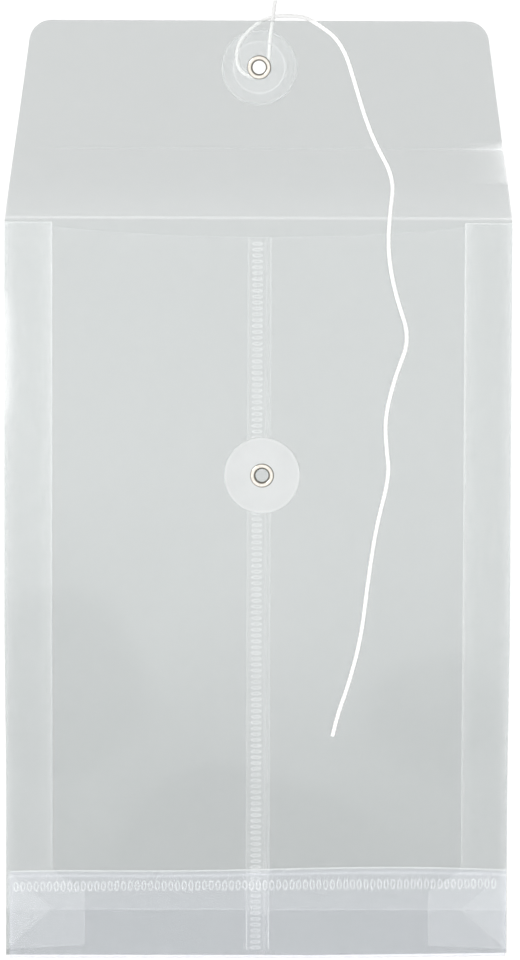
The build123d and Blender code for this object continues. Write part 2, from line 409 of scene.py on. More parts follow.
@dataclass(frozen=True)
class FilmFinish:
    """Clear film: a tone and haze that change softly from bottom to top, painted shade that leaves the
    lower film darker, and a pale mark along its creases and folds, crease whitening with painted
    highlights.

    The alpha is that of one face, so a ply of film has it twice.
    """

    name: str
    top: float
    bottom: float
    alpha: float
    alpha_low: float
    # how much the pale mark, crease whitening with painted highlights, thickens the haze
    whitening: float = 0.12
    blue: float = 0.0
    white: float = 0.62
    roughness: float = 0.16
    hollows: Sequence[PaintedReflection] = ()
    reach: Point2 = (-0.15, 0.15)
    mottle: float = 0.27
    tint_span: Point2 = (0.13, 0.72)
    haze_span: Point2 = (0.2, 0.75)
    less_red: Point2 = (0.02, 0.024)
    top_blue: float = -0.004

    def material(self) -> Material:
        """Return the film's material.

        Returns:
            A see-through plastic that reads its crease whitening and painted highlights from the mesh.
        """
        desk = NodeDesk(self.name)
        desk.set(Roughness=self.roughness, IOR=1.49, Specular_IOR_Level=0.4)
        height = self.height(desk)
        creased = desk.add("ShaderNodeAttribute", attribute_name=CREASE_WHITE_AND_SHEEN).outputs["Fac"]
        low_tint = tinted(self.bottom, self.less_red[0], self.blue)
        high_tint = tinted(self.top, self.less_red[1], self.top_blue)
        # painted shade: the tint runs from the bottom level to the top level, so the lower film is darker
        clear = desk.ramp(height, list(zip(self.tint_span, (low_tint, high_tint))), "EASE")
        # the pale mark whitens the colour here and thickens the haze below: crease whitening with painted
        # highlights
        desk.join(desk.mixed(creased, clear, grey(self.white)), desk.shader.inputs["Base Color"])
        # the haze follows the same height, part of that painted shade
        haze = desk.remap(height, self.haze_span, (self.alpha_low, self.alpha))
        desk.join(desk.added(haze, creased, self.whitening, clamp=True), desk.shader.inputs["Alpha"])
        ripple = desk.noise(scale=30.0, detail=2.0, stretch=(1.0, 0.35, 1.0))
        desk.bump(ripple, strength=0.25, distance=0.4 * MM)
        return desk.material

    def height(self, desk: NodeDesk) -> Socket:
        """Return the height on the envelope from 0 to about 1, which carries the painted shade from bottom
        to top, with a soft mottle and the painted reflections.

        Args:
            desk: the film's node tree.

        Returns:
            The height's socket.
        """
        rise = desk.remap(desk.axis("Y"), self.reach, (0.0, 1.0), "LINEAR")
        level = desk.added(rise, desk.noise(scale=11.0, detail=2.0), self.mottle)
        for painted_reflection in self.hollows:
            level = desk.added(level, painted_reflection.mask(desk), -1.0)
        return level


@dataclass(frozen=True)
class MilkyFinish:
    """Milky, slightly see-through plastic of the buttons and washers."""

    name: str
    level: float
    alpha: float
    cloud: float = 0.96

    def material(self) -> Material:
        """Return the milky plastic's material.

        Returns:
            A see-through plastic with a soft cloud in it.
        """
        desk = NodeDesk(self.name)
        desk.set(Alpha=self.alpha, Roughness=0.32, IOR=1.47)
        stops = [(0.3, grey(self.level * self.cloud)), (0.7, grey(self.level))]
        desk.join(desk.ramp(desk.noise(scale=160.0), stops), desk.shader.inputs["Base Color"])
        desk.bump(desk.noise(scale=900.0, detail=2.0), strength=0.08, distance=0.05 * MM)
        return desk.material


@dataclass(frozen=True)
class NickelFinish:
    """Nickel plate on the eyelets, a little warm, with fine handling marks."""

    name: str = "nickel_plate"
    dull: Colour = (0.37, 0.348, 0.312, 1.0)
    bright: Colour = (0.45, 0.430, 0.395, 1.0)
    roughness: Point2 = (0.07, 0.16)

    def material(self) -> Material:
        """Return the nickel's material.

        Returns:
            A metal whose colour and gloss vary finely.
        """
        desk = NodeDesk(self.name)
        desk.set(Metallic=1.0)
        marks = desk.ramp(desk.noise(scale=2400.0), [(0.35, self.dull), (0.7, self.bright)])
        desk.join(marks, desk.shader.inputs["Base Color"])
        smooth, rough = (grey(level, 0.0) for level in self.roughness)
        gloss = desk.ramp(desk.noise(scale=1300.0, detail=2.0), [(0.3, smooth), (0.7, rough)])
        desk.join(gloss, desk.shader.inputs["Roughness"])
        return desk.material


@dataclass(frozen=True)
class ThreadFinish:
    """White cotton thread, matt, with fine fibres: whitest at the flap's button, painted light under the
    flap's film, and greyer past the flap, painted shade.
    """

    film_edge: float
    name: str = "white_thread"
    held_to: float = 13.0 * MM
    fibre: Colour = (0.68, 0.68, 0.665, 1.0)
    lit_fibre: Colour = (0.78, 0.78, 0.77, 1.0)
    held: Colour = (0.96, 0.96, 0.95, 1.0)
    handled: Colour = (0.52, 0.52, 0.515, 1.0)
    edge_margins: Point2 = (0.8 * MM, 0.2 * MM)

    def material(self) -> Material:
        """Return the thread's material.

        Returns:
            A matt cotton with painted light at the button and painted shade past the flap's edge.
        """
        desk = NodeDesk(self.name)
        desk.set(Roughness=0.85, Sheen_Weight=0.1)
        colour = desk.ramp(desk.noise(scale=2600.0), [(0.3, self.fibre), (0.65, self.lit_fibre)])
        # painted light: whiter where the thread lies under the flap's film
        held = desk.remap(desk.axis("X"), (self.held_to - MM, self.held_to + MM), (1.0, 0.0))
        colour = desk.mixed(held, colour, self.held)
        # painted shade: greyer past the flap's top edge
        edge = (self.film_edge - self.edge_margins[0], self.film_edge + self.edge_margins[1])
        past = desk.remap(desk.axis("Y"), edge, (0.0, 1.0))
        desk.join(desk.mixed(past, colour, self.handled), desk.shader.inputs["Base Color"])
        desk.bump(desk.noise(scale=5200.0, detail=2.0), strength=0.4, distance=0.05 * MM)
        return desk.material


class Palette:
    """Every finish of the envelope, made once."""

    def __init__(self, layout: Layout, film_edge: float) -> None:
        """Make the materials.

        Args:
            layout: the envelope's planes.
            film_edge: the frame's Y of the flap's top edge.
        """
        table = layout.table
        # painted reflections: three soft dark patches on the back film's lower half
        hollows = (
            PaintedReflection(table.at(-62 * MM, -149 * MM), reach=(28 * MM, 27 * MM), depth=0.075),
            PaintedReflection(table.at(58 * MM, -157 * MM), reach=(23 * MM, 19 * MM), depth=0.06),
            PaintedReflection(table.at(-2 * MM, -199 * MM), reach=(36 * MM, 19 * MM), depth=0.075),
        )
        # a painted bright reflection about the seam's foot on the front film
        seam_foot = PaintedReflection(table.at(0.3 * MM, -229 * MM), reach=(9 * MM, 10 * MM), depth=-0.7)
        # One clear film in lit and shaded copies: the back and flap films are painted dark, painted shade
        # for the shade under the film, which casts no shadow; the front, pleats, hem and tuck are painted
        # pale, a painted reflection that brightens each ply laid over another.
        self.back = FilmFinish(
            "back_film", top=0.21, bottom=0.045, alpha=0.388, alpha_low=0.388, hollows=hollows
        ).material()
        self.flap = FilmFinish(
            "flap_film", top=0.06, bottom=0.06, alpha=0.272, alpha_low=0.272, whitening=0.35
        ).material()
        self.front = FilmFinish(
            "front_film", top=0.56, bottom=0.52, alpha=0.016, alpha_low=0.064, whitening=0.30,
            hollows=(seam_foot,),
        ).material()
        # The left pleat has more pale haze at the top than the right: painted light on the left gusset.
        self.pleats = {
            Side.LEFT: FilmFinish(
                "left_pleat_film", top=0.58, bottom=0.54, alpha=0.030, alpha_low=0.026, whitening=0.25
            ).material(),
            Side.RIGHT: FilmFinish(
                "right_pleat_film", top=0.58, bottom=0.54, alpha=0.012, alpha_low=0.020, whitening=0.25
            ).material(),
        }
        self.hem = FilmFinish(
            "hem_film", top=0.56, bottom=0.50, alpha=0.080, alpha_low=0.080, whitening=0.30, blue=0.08
        ).material()
        self.tuck = self.even_film("tuck_film", 0.58, 0.54, 0.075)
        # The edge materials are paler than their films: painted highlights along the cut edges.
        self.edge = self.even_film("film_edge", 0.62, 0.60, 0.10)
        self.flap_edge = self.even_film("flap_edge", 0.10, 0.10, 0.28)
        self.hem_edge = self.even_film("hem_edge", 0.62, 0.60, 0.24)
        self.seam_weld = self.even_film("seam_weld_bead", 0.62, 0.60, 0.30)
        self.hem_weld = self.even_film("hem_weld_bead", 0.64, 0.62, 0.35)
        self.front_button = MilkyFinish("front_button", level=0.43, alpha=0.62).material()
        # The rim materials are paler or more opaque than the discs and washers: painted highlights round
        # their edges.
        self.front_rim = MilkyFinish("front_button_rim", level=0.455, alpha=0.62).material()
        self.flap_button = MilkyFinish("flap_button", level=0.69, alpha=0.30).material()
        self.flap_rim = MilkyFinish("flap_button_rim", level=0.73, alpha=0.37).material()
        self.washer = MilkyFinish("milky_washer", level=0.64, alpha=0.025).material()
        self.washer_rim = MilkyFinish("milky_washer_rim", level=0.64, alpha=0.17).material()
        self.nickel = NickelFinish().material()
        self.thread = ThreadFinish(film_edge).material()

    def even_film(self, name: str, top: float, bottom: float, alpha: float) -> Material:
        """Return a film that is as clear at the top as at the bottom."""
        return FilmFinish(name, top=top, bottom=bottom, alpha=alpha, alpha_low=alpha).material()


def new_object(name: str, mesh: bpy.types.Mesh, materials: Iterable[Material]) -> Piece:
    """Link a mesh into the scene as an object, smooth but for its sharp turns.

    Args:
        name: the object's name.
        mesh: its mesh.
        materials: its finishes, in the order of the faces' material numbers.

    Returns:
        The new object.
    """
    for material in materials:
        mesh.materials.append(material)
    mesh.polygons.foreach_set("use_smooth", [True] * len(mesh.polygons))
    mesh.set_sharp_from_angle(angle=SHARP_TURN)
    piece = bpy.data.objects.new(name, mesh)
    bpy.context.scene.collection.objects.link(piece)
    return piece


def harden(piece: Piece) -> Piece:
    """Turn a piece's modifiers into its mesh, and keep the sharp turns that they make.

    Args:
        piece: the object with its modifiers.

    Returns:
        The same object, with none.
    """
    sheet = piece.data
    evaluated = piece.evaluated_get(bpy.context.evaluated_depsgraph_get())
    piece.data = bpy.data.meshes.new_from_object(evaluated)
    piece.modifiers.clear()
    bpy.data.meshes.remove(sheet)
    piece.data.name = piece.name
    piece.data.set_sharp_from_angle(angle=SHARP_TURN)
    return piece


def joined(piece: Piece, other: Piece) -> Piece:
    """Add another piece with the same finishes to a piece.

    Args:
        piece: the piece that stays.
        other: the piece that goes into it.

    Returns:
        The piece that stays.
    """
    shape = bmesh.new()
    shape.from_mesh(piece.data)
    shape.from_mesh(other.data)
    shape.to_mesh(piece.data)
    shape.free()
    spent = other.data
    bpy.data.objects.remove(other)
    bpy.data.meshes.remove(spent)
    return piece


def let_light_through(piece: Piece) -> None:
    """Keep a thin clear piece from darkening what lies under it."""
    piece.visible_shadow = False
    piece.visible_diffuse = False


def bmesh_to_mesh(name: str, shape: bmesh.types.BMesh) -> bpy.types.Mesh:
    """Turn a bmesh into a mesh and free it.

    Args:
        name: the mesh's name.
        shape: the bmesh.

    Returns:
        The mesh.
    """
    mesh = bpy.data.meshes.new(name)
    shape.to_mesh(mesh)
    shape.free()
    return mesh


def everything(shape: bmesh.types.BMesh) -> list:
    """Return all of a bmesh's geometry."""
    return shape.verts[:] + shape.edges[:] + shape.faces[:]


def spaced(start: float, step: float, count: int) -> list[float]:
    """Return evenly spaced places from a start."""
    return [start + step * index for index in range(count)]


def glow(distance: float, reach: float) -> float:
    """Return a soft bell of 1 at no distance, falling off over a reach."""
    return math.exp(-((distance / reach) ** 2))


@dataclass(frozen=True)
class WhiteningAndSheen:
    """A pale line in the film, used both for crease whitening and for painted highlights: its strength on
    the line, and how far it reaches.
    """

    strength: float
    reach: float

    def at(self, distance: float) -> float:
        """Return the whitening at a distance from the line."""
        return self.strength * glow(distance, self.reach)


@dataclass(frozen=True)
class Stretch:
    """A range with soft ends."""

    low: float
    high: float
    soft: float

    def share(self, value: float) -> float:
        """Return 1 well inside the range, falling smoothly to 0 at its ends.

        Args:
            value: a place in or out of the range.

        Returns:
            The share, from 0 to 1.
        """
        inside = min(value - self.low, self.high - value) / self.soft
        inside = max(0.0, min(1.0, inside))
        return inside * inside * (3.0 - 2.0 * inside)


@dataclass(frozen=True)
class Flare:
    """How the film's outer sides stand off their straight lines, most about the mouth."""

    spread: float = 0.55 * MM
    run: Stretch = Stretch(-100 * MM, 150 * MM, 65 * MM)
    sharpness: int = 8

    def apply(self, spot: Vector, half_width: float) -> Vector:
        """Return a film's point, moved outward where it is near a side.

        Args:
            spot: the point as laid.
            half_width: half the envelope's width.

        Returns:
            The moved point.
        """
        share = (abs(spot.x) / half_width) ** self.sharpness
        outward = self.spread * share * self.run.share(spot.y)
        return Vector((spot.x + math.copysign(outward, spot.x), spot.y, spot.z))


@dataclass(frozen=True)
class FilmBlank:
    """A flat blank of film: an outline, an edge band that catches light, and where the film is laid."""

    name: str
    outline: Sequence[Point2]
    place: Place
    layout: Layout
    round_corners: Sequence[int] = ()
    corner_radius: float = 0.0
    corner_segments: int = 8
    band: float = 0.45 * MM
    band_room: float = 2.5
    spacing: float = 5.0 * MM
    plain: Sequence[Edge] = ()
    cuts_across: Sequence[float] = ()
    cuts_along: Sequence[float] = ()
    hole: Point3 | None = None
    hole_sides: int = 16
    creased: Shade = lambda x, y: 0.0
    flare: Flare = Flare()

    def spans(self) -> tuple[Point2, Point2]:
        """Return the outline's reach across and along, each as its lowest and highest place."""
        xs, ys = zip(*self.outline)
        return (min(xs), max(xs)), (min(ys), max(ys))

    def slice(self, shape: bmesh.types.BMesh, axis: Axis, span: Point2, extra: Sequence[float]) -> None:
        """Cut the blank across one axis at even steps and at extra places, so that it can bend.

        Args:
            shape: the flat blank.
            axis: the direction that the cuts step along.
            span: the blank's lowest and highest place in that direction.
            extra: further places to cut at.
        """
        low, high = span
        count = max(2, round((high - low) / self.spacing))
        pitch = (high - low) / count
        direction = Vector(axis.value)
        for place in [*spaced(low + pitch, pitch, count - 1), *extra]:
            bmesh.ops.bisect_plane(
                shape, geom=everything(shape), dist=CUT_TOLERANCE,
                plane_co=direction * place, plane_no=direction,
            )

    def is_plain(self, spot: Vector) -> bool:
        """Return whether a place in the edge band is on a folded or joined edge, which shows no line.

        Args:
            spot: the place in the flat blank.

        Returns:
            True where the film's own finish goes on to the edge.
        """
        if len(self.plain) == len(Edge):
            return True
        (left, right), (low, high) = self.spans()
        room = self.band_room * self.band
        near = {
            Edge.LOW: spot.y < low + room,
            Edge.HIGH: spot.y > high - room,
            Edge.LEFT: spot.x < left + room,
            Edge.RIGHT: spot.x > right - room,
        }
        return any(near[edge] for edge in self.plain)

    def pierce(self, shape: bmesh.types.BMesh) -> None:
        """Cut the round hole for an eyelet, by planes tangent to it.

        Args:
            shape: the flat blank.
        """
        x, y, radius = self.hole
        centre = Vector((x, y, 0.0))
        reach = 2 * self.spacing
        for turn in spaced(0.0, math.tau / self.hole_sides, self.hole_sides):
            outward = Vector((math.cos(turn), math.sin(turn), 0.0))
            near = [face for face in shape.faces if (face.calc_center_median() - centre).length < reach]
            geom = {item for face in near for item in (face, *face.edges, *face.verts)}
            bmesh.ops.bisect_plane(
                shape, geom=list(geom), dist=CUT_TOLERANCE,
                plane_co=centre + outward * radius, plane_no=outward,
            )
        inside = [face for face in shape.faces if (face.calc_center_median() - centre).length < radius]
        bmesh.ops.delete(shape, geom=inside, context="FACES")

    def build(self, materials: Sequence[Material]) -> Piece:
        """Return the laid film with its thickness.

        Args:
            materials: the film's own finish and the finish of its edge band.

        Returns:
            The film as an object.
        """
        shape = bmesh.new()
        corners = [shape.verts.new((x, y, 0.0)) for x, y in self.outline]
        shape.faces.new(corners)
        shape.normal_update()
        rounded = [corners[index] for index in self.round_corners]
        if rounded:
            bmesh.ops.bevel(
                shape, geom=rounded, offset=self.corner_radius, segments=self.corner_segments, profile=0.5,
                affect="VERTICES", material=-1,
            )
        ring = bmesh.ops.inset_region(
            shape, faces=shape.faces[:], thickness=self.band, use_even_offset=True, use_boundary=True
        )
        for face in ring["faces"]:
            face.material_index = 0 if self.is_plain(face.calc_center_median()) else 1
        across, along = self.spans()
        self.slice(shape, Axis.ACROSS, across, self.cuts_across)
        self.slice(shape, Axis.ALONG, along, self.cuts_along)
        if self.hole:
            self.pierce(shape)
        layer = shape.verts.layers.float.new(CREASE_WHITE_AND_SHEEN)
        for vert in shape.verts:
            vert[layer] = min(1.0, self.creased(vert.co.x, vert.co.y))
            vert.co = self.flare.apply(self.place(vert.co.x, vert.co.y), self.layout.half_width)
        bmesh.ops.recalc_face_normals(shape, faces=shape.faces[:])
        piece = new_object(self.name, bmesh_to_mesh(self.name, shape), materials)
        wall = piece.modifiers.new("film_thickness", "SOLIDIFY")
        wall.thickness = self.layout.film
        wall.offset = 0.0
        wall.material_offset_rim = 1
        return harden(piece)


def spun(
    name: str, profile: Sequence[Point2], seat: Matrix, materials: Sequence[Material],
    rim_from: float = math.inf, steps: int = 96,
) -> Piece:
    """Return a round piece spun from a closed profile, set on its seat.

    Args:
        name: the piece's name.
        profile: closed run of (radius, height) points.
        seat: matrix from the piece's own axis to its place.
        materials: the piece's finish, and the finish of its rim.
        rim_from: radius from which the rim's finish is used.
        steps: faces round the piece.

    Returns:
        The round piece as an object.
    """
    shape = bmesh.new()
    verts = [shape.verts.new((radius, 0.0, height)) for radius, height in profile]
    edges = [shape.edges.new((a, b)) for a, b in zip(verts, verts[1:] + verts[:1])]
    bmesh.ops.spin(
        shape, geom=verts + edges, cent=(0.0, 0.0, 0.0), axis=(0.0, 0.0, 1.0),
        angle=math.tau, steps=steps, use_merge=True,
    )
    bmesh.ops.remove_doubles(shape, verts=shape.verts[:], dist=MERGE_TOLERANCE)
    bmesh.ops.recalc_face_normals(shape, faces=shape.faces[:])
    for face in shape.faces:
        face.material_index = int(face.calc_center_median().xy.length > rim_from)
    bmesh.ops.transform(shape, matrix=seat, verts=shape.verts[:])
    return new_object(name, bmesh_to_mesh(name, shape), materials)


def arc_points(centre: Point2, radius: float, start: float, end: float, count: int) -> list[Point2]:
    """Return points on an arc in a profile, with its angles in degrees."""
    turns = [math.radians(start + (end - start) * step / (count - 1)) for step in range(count)]
    return [(centre[0] + radius * math.cos(turn), centre[1] + radius * math.sin(turn)) for turn in turns]


def settle(piece: Piece, body: str, slot: str, *nodes: str) -> Piece:
    """Ride a piece on a body, and hide and log the CAD nodes that it stands for.

    Args:
        piece: the finished piece.
        body: the body that carries it.
        slot: the record's material slot; not used.
        nodes: the CAD nodes that it replaces.

    Returns:
        The same piece.
    """
    let_light_through(piece)
    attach(piece, body)
    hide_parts(*nodes)
    LOG.info("%s rides on %s for %s", piece.name, body, ", ".join(nodes))
    return piece


def fold_over(
    piece: Piece, bodies: tuple[str, str], start: Vector, end: Vector, slot: str, *nodes: str
) -> Piece:
    """Bake a piece's place into its mesh, and hide and log the CAD nodes that it stands for, with the two
    bodies that it spans.

    Args:
        piece: the finished piece.
        bodies: the body before the joint and the one after it, which are only logged.
        start: where it starts to bend; not used.
        end: where it is bent all the way; not used.
        slot: the record's material slot; not used.
        nodes: the CAD nodes that it replaces.

    Returns:
        The same piece.
    """
    let_light_through(piece)
    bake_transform(piece)
    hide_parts(*nodes)
    LOG.info("%s bends from %s to %s for %s", piece.name, bodies[0], bodies[1], ", ".join(nodes))
    return piece


@dataclass(frozen=True)
class FrontSag:
    """The front wall's gentle dips, which both lapped halves share."""

    side_room: float = 20 * MM
    side_soft: float = 22 * MM
    run: Stretch = Stretch(-195 * MM, -12 * MM, 30 * MM)
    depth: float = 0.22 * MM
    swing: float = 0.16 * MM
    across_rate: float = 61.0
    across_start: float = 0.8
    along_rate: float = 37.0
    slant_rate: float = 13.0

    def lift(self, x: float, y: float, half_width: float) -> float:
        """Return how far the front lies off its plane, below zero where it sags.

        Args:
            x: place across the front.
            y: place along the front, from the crease.
            half_width: half the envelope's width.

        Returns:
            The lift along the front's normal.
        """
        reach = half_width - self.side_room
        room = Stretch(-reach, reach, self.side_soft).share(x) * self.run.share(y)
        wave = math.sin(x * self.across_rate + self.across_start)
        wave *= math.sin(y * self.along_rate + x * self.slant_rate)
        return -room * (self.depth + self.swing * wave)


@dataclass(frozen=True)
class FilmBody:
    """The body's film: back, two lapped front halves, pleated gussets, tucks and the bottom flap."""

    layout: Layout
    palette: Palette
    seam_left: float = -3.4 * MM
    seam_right: float = 4.0 * MM
    seam_line: float = 2.4 * MM
    seam_foot: float = 1.3 * MM
    seam_shine: WhiteningAndSheen = WhiteningAndSheen(0.2, 0.25 * MM)
    dip_side: float = 1.5 * MM
    dip_centre: float = 6.2 * MM
    dip_reach: float = 40 * MM
    mouth_shine: WhiteningAndSheen = WhiteningAndSheen(0.16, 0.4 * MM)
    front_sag: FrontSag = FrontSag()
    outer_fold: WhiteningAndSheen = WhiteningAndSheen(0.28, 1.6 * MM)
    # painted highlight along a stretch of the left outer fold
    sprung_fold: WhiteningAndSheen = WhiteningAndSheen(0.86, 2.9 * MM)
    sprung_run: Stretch = Stretch(-69 * MM, -18 * MM, 14 * MM)
    gusset_depth: float = 14.85 * MM
    gusset_clear: float = 0.5 * MM
    pleat_round: float = 0.3 * MM
    pleat_inset: float = 0.1 * MM
    pleat_cuts: Sequence[float] = (0.0, 0.25, 0.5, 0.75, 1.0, 2.0, 3.0, 4.5, 6.0, 11.0, 12.5, 13.7)
    pleat_line: WhiteningAndSheen = WhiteningAndSheen(0.8, 0.5 * MM)
    pleat_haze: WhiteningAndSheen = WhiteningAndSheen(0.22, 3.0 * MM)
    pleat_edge: WhiteningAndSheen = WhiteningAndSheen(0.2, 2.2 * MM)
    pleat_low_share: float = 0.30
    lip_height: float = 14.2 * MM
    tuck_reach: float = 24.9 * MM
    tuck_low: float = 2.8 * MM
    tuck_high: float = 19.6 * MM
    tuck_corner: float = 1.6 * MM
    hem_left: float = 26.3 * MM
    hem_crest: float = 28.2 * MM
    hem_spots: Sequence[Point2] = (
        (-76.0, 26.67), (-44.0, 26.83), (-12.0, 27.06), (20.0, 27.79), (50.0, 28.08), (79.0, 27.28),
    )
    hem_inset_left: float = 1.25 * MM
    hem_inset_right: float = 0.35 * MM
    hem_press: float = 1.8 * MM
    hem_press_line: WhiteningAndSheen = WhiteningAndSheen(0.5, 0.35 * MM)
    hem_left_end: WhiteningAndSheen = WhiteningAndSheen(0.22, 1.8 * MM)
    hem_right_end: WhiteningAndSheen = WhiteningAndSheen(0.30, 1.2 * MM)
    hem_fold_strength: float = 0.6
    hem_lift: float = 0.60 * MM
    fold_radius: float = 0.95 * MM
    fold_reach: float = 0.7 * MM
    fold_steps: int = 8
    sag_left: float = 1.4 * MM
    sag_right: float = 0.6 * MM
    sag_turn: float = 20 * MM

    def fold_sag(self, x: float) -> float:
        """Return how far the bottom fold bulges past its line, less towards the right."""
        share = max(0.0, x - self.sag_turn) / (self.layout.half_width - self.sag_turn)
        return self.sag_left + (self.sag_right - self.sag_left) * share

    def back(self) -> None:
        """Build the back wall, flat on the table."""
        half = self.layout.half_width
        low = self.fold_radius - self.layout.body_length
        high = -self.fold_reach
        foot = [(x, low - self.fold_sag(x)) for x in (-half, self.sag_turn, half)]
        outline = [*foot, (half, high), (-half, high)]
        blank = FilmBlank(
            "back_film", outline, lambda x, y: self.layout.table.at(x, y, self.layout.film / 2),
            self.layout, plain=tuple(Edge),
        )
        settle(blank.build([self.palette.back, self.palette.edge]), "body", "film", "back_panel")

    def mouth_dip(self, x: float) -> float:
        """Return how far the front's mouth edge lies below the crease."""
        share = x / self.layout.half_width
        return self.dip_centre + (self.dip_side - self.dip_centre) * share * share

    def front_place(self, level: int) -> Place:
        """Return where the front's blank is laid.

        Args:
            level: the ply's number, from the inside out.

        Returns:
            A function from the flat blank to the frame.
        """
        lift = self.layout.film / 2 + level * (self.layout.film + self.layout.ply_gap)
        half = self.layout.half_width

        def place(x: float, y: float) -> Vector:
            """Lay one point, with the mouth's dip near the mouth.

            Args:
                x: place across the blank.
                y: place along the blank.

            Returns:
                The frame point.
            """
            near_mouth = max(0.0, 1.0 + y / self.dip_reach)
            along = y - self.mouth_dip(x) * near_mouth
            return self.layout.front.at(x, along, lift + self.front_sag.lift(x, along, half))

        return place

    def front_outline(self, side: Side) -> list[Point2]:
        """Return one front half's blank, with the lapped seam's foot below the lip.

        Args:
            side: which half.

        Returns:
            The blank's corners.
        """
        half = self.layout.half_width
        low = self.lip_height - self.layout.body_length
        foot = self.seam_foot - self.layout.body_length
        if side is Side.RIGHT:
            inner = [(self.seam_left, 0.0), (self.seam_left, foot), (self.seam_right, foot)]
            return [*inner, (self.seam_right, low), (half, low), (half, 0.0)]
        inner = [(self.seam_left, low), (self.seam_left, foot), (self.seam_right, foot)]
        return [(-half, 0.0), (-half, low), *inner, (self.seam_right, 0.0)]

    def front(self, side: Side) -> None:
        """Build one front half, lapped at the centre seam.

        Args:
            side: which half.
        """
        half = self.layout.half_width
        name = side.name.lower()
        edge_cuts = [side.value * (half - inward) for inward in spaced(0.8 * MM, 0.8 * MM, 4)]
        seam_cuts = spaced(self.seam_line - 0.5 * MM, 0.25 * MM, 5)

        def creased(x: float, y: float) -> float:
            """Whiten the outer fold, crease whitening with a painted highlight, more along a stretch at the
            left, and paint shine on the seam's inner line and the mouth edge.

            Args:
                x: place across the blank.
                y: place along the blank.

            Returns:
                The whitening.
            """
            away = half - abs(x)
            lines = self.outer_fold.at(away) + self.seam_shine.at(x - self.seam_line)
            lines += self.mouth_shine.at(y)
            left_highlight = self.sprung_run.share(y) * self.sprung_fold.at(away)
            return lines + left_highlight if x < 0.0 else lines

        blank = FilmBlank(
            f"front_{name}_film", self.front_outline(side), self.front_place(int(side is Side.RIGHT)),
            self.layout, hole=(*BODY_EYELET, FILM_HOLE), plain=(Edge[side.name], Edge.HIGH, Edge.LOW),
            cuts_across=[*edge_cuts, *seam_cuts], creased=creased,
        )
        piece = blank.build([self.palette.front, self.palette.edge])
        settle(piece, "body", "film", f"front_panel_{name}")

    def gusset(self, side: Side) -> None:
        """Build one side gusset as a single pleat: back leaf, inner fold and front leaf.

        Args:
            side: which gusset.
        """
        depth = self.gusset_depth
        film = self.layout.film
        gap = self.layout.ply_gap
        lift = film + gap if side is Side.RIGHT else 0.0
        low = self.hem_left + self.gusset_clear - self.layout.body_length

        def place(x: float, y: float) -> Vector:
            """Lay one point of the pleat.

            Args:
                x: distance along the pleat from the back.
                y: place along the gusset, from the crease.

            Returns:
                The frame point.
            """
            inward = depth - math.hypot(x - depth, self.pleat_round)
            floor = film * 1.5 + gap
            roof = self.layout.front.at(0.0, y).z + lift - gap - film / 2
            height = floor + (roof - floor) * x / (2 * depth)
            outer = self.layout.half_width - self.pleat_inset
            return self.layout.table.at(side.value * (outer - inward), y, height)

        def creased(x: float, y: float) -> float:
            """Whiten the inner fold and the outer edges, more towards the mouth: a crease line with painted
            highlights about the fold and along the edges.

            Args:
                x: distance along the pleat from the back.
                y: place along the gusset.

            Returns:
                The whitening.
            """
            fade = self.pleat_low_share + (1.0 - self.pleat_low_share) * (y - low) / -low
            away = abs(x - depth)
            fold = self.pleat_line.at(away) + self.pleat_haze.at(away)
            return fade * (fold + self.pleat_edge.at(depth - away))

        outline = [(0.0, low), (2 * depth, low), (2 * depth, -self.dip_side), (0.0, -self.dip_side)]
        cuts = [depth + sign * step * MM for step in self.pleat_cuts for sign in (-1, 1)]
        name = side.name.lower()
        blank = FilmBlank(
            f"{name}_gusset_film", outline, place, self.layout, plain=(Edge.LOW, Edge.LEFT, Edge.RIGHT),
            cuts_across=cuts, creased=creased,
        )
        piece = blank.build([self.palette.pleats[side], self.palette.edge])
        settle(piece, "body", "film", f"{name}_gusset_back_leaf", f"{name}_gusset_front_leaf")

    def tuck(self, side: Side) -> None:
        """Build a gusset's flat lower end, with the corner that its two diagonal folds lay over it.

        Args:
            side: which gusset.
        """
        half = self.layout.half_width
        fold = half - self.gusset_depth
        inner = half - self.tuck_reach
        name = side.name.lower()
        ply = self.layout.film + self.layout.ply_gap

        def sheet(part: str, corners: Sequence[Point2], level: int, plain: Sequence[Edge]) -> Piece:
            """Return one flat ply of the tuck.

            Args:
                part: the ply's name.
                corners: its corners, as (distance from the middle, height above the bottom fold).
                level: the ply's number above the back.
                plain: its edges that show no line.

            Returns:
                The ply as an object.
            """
            outline = [(side.value * x, y - self.layout.body_length) for x, y in corners]
            lift = self.layout.film / 2 + level * ply
            blank = FilmBlank(
                f"{name}_{part}", outline, lambda x, y: self.layout.table.at(x, y, lift), self.layout,
                plain=plain,
            )
            return blank.build([self.palette.tuck, self.palette.edge])

        wide = [
            (half, self.tuck_corner), (inner, self.tuck_low), (inner, self.tuck_high),
            (fold, self.hem_left), (half, self.hem_left),
        ]
        folded = [(half, self.tuck_corner), (fold, self.lip_height), (half, self.hem_left)]
        under = sheet("tuck_film", wide, 1, [Edge[side.name]])
        corner = sheet("tuck_corner_film", folded, 2, tuple(Edge))
        settle(joined(under, corner), "body", "film", f"{name}_bottom_tuck")

    def hem_height(self, x: float) -> float:
        """Return the bottom flap's top edge above the bottom fold, a shallow wave through a few spots.

        Args:
            x: place across the envelope.

        Returns:
            The height of the edge.
        """
        total = 0.0
        for index, (here, height) in enumerate(self.hem_spots):
            share = 1.0
            for other, (there, _) in enumerate(self.hem_spots):
                if other != index:
                    share *= (x / MM - there) / (here - there)
            total += height * MM * share
        return total

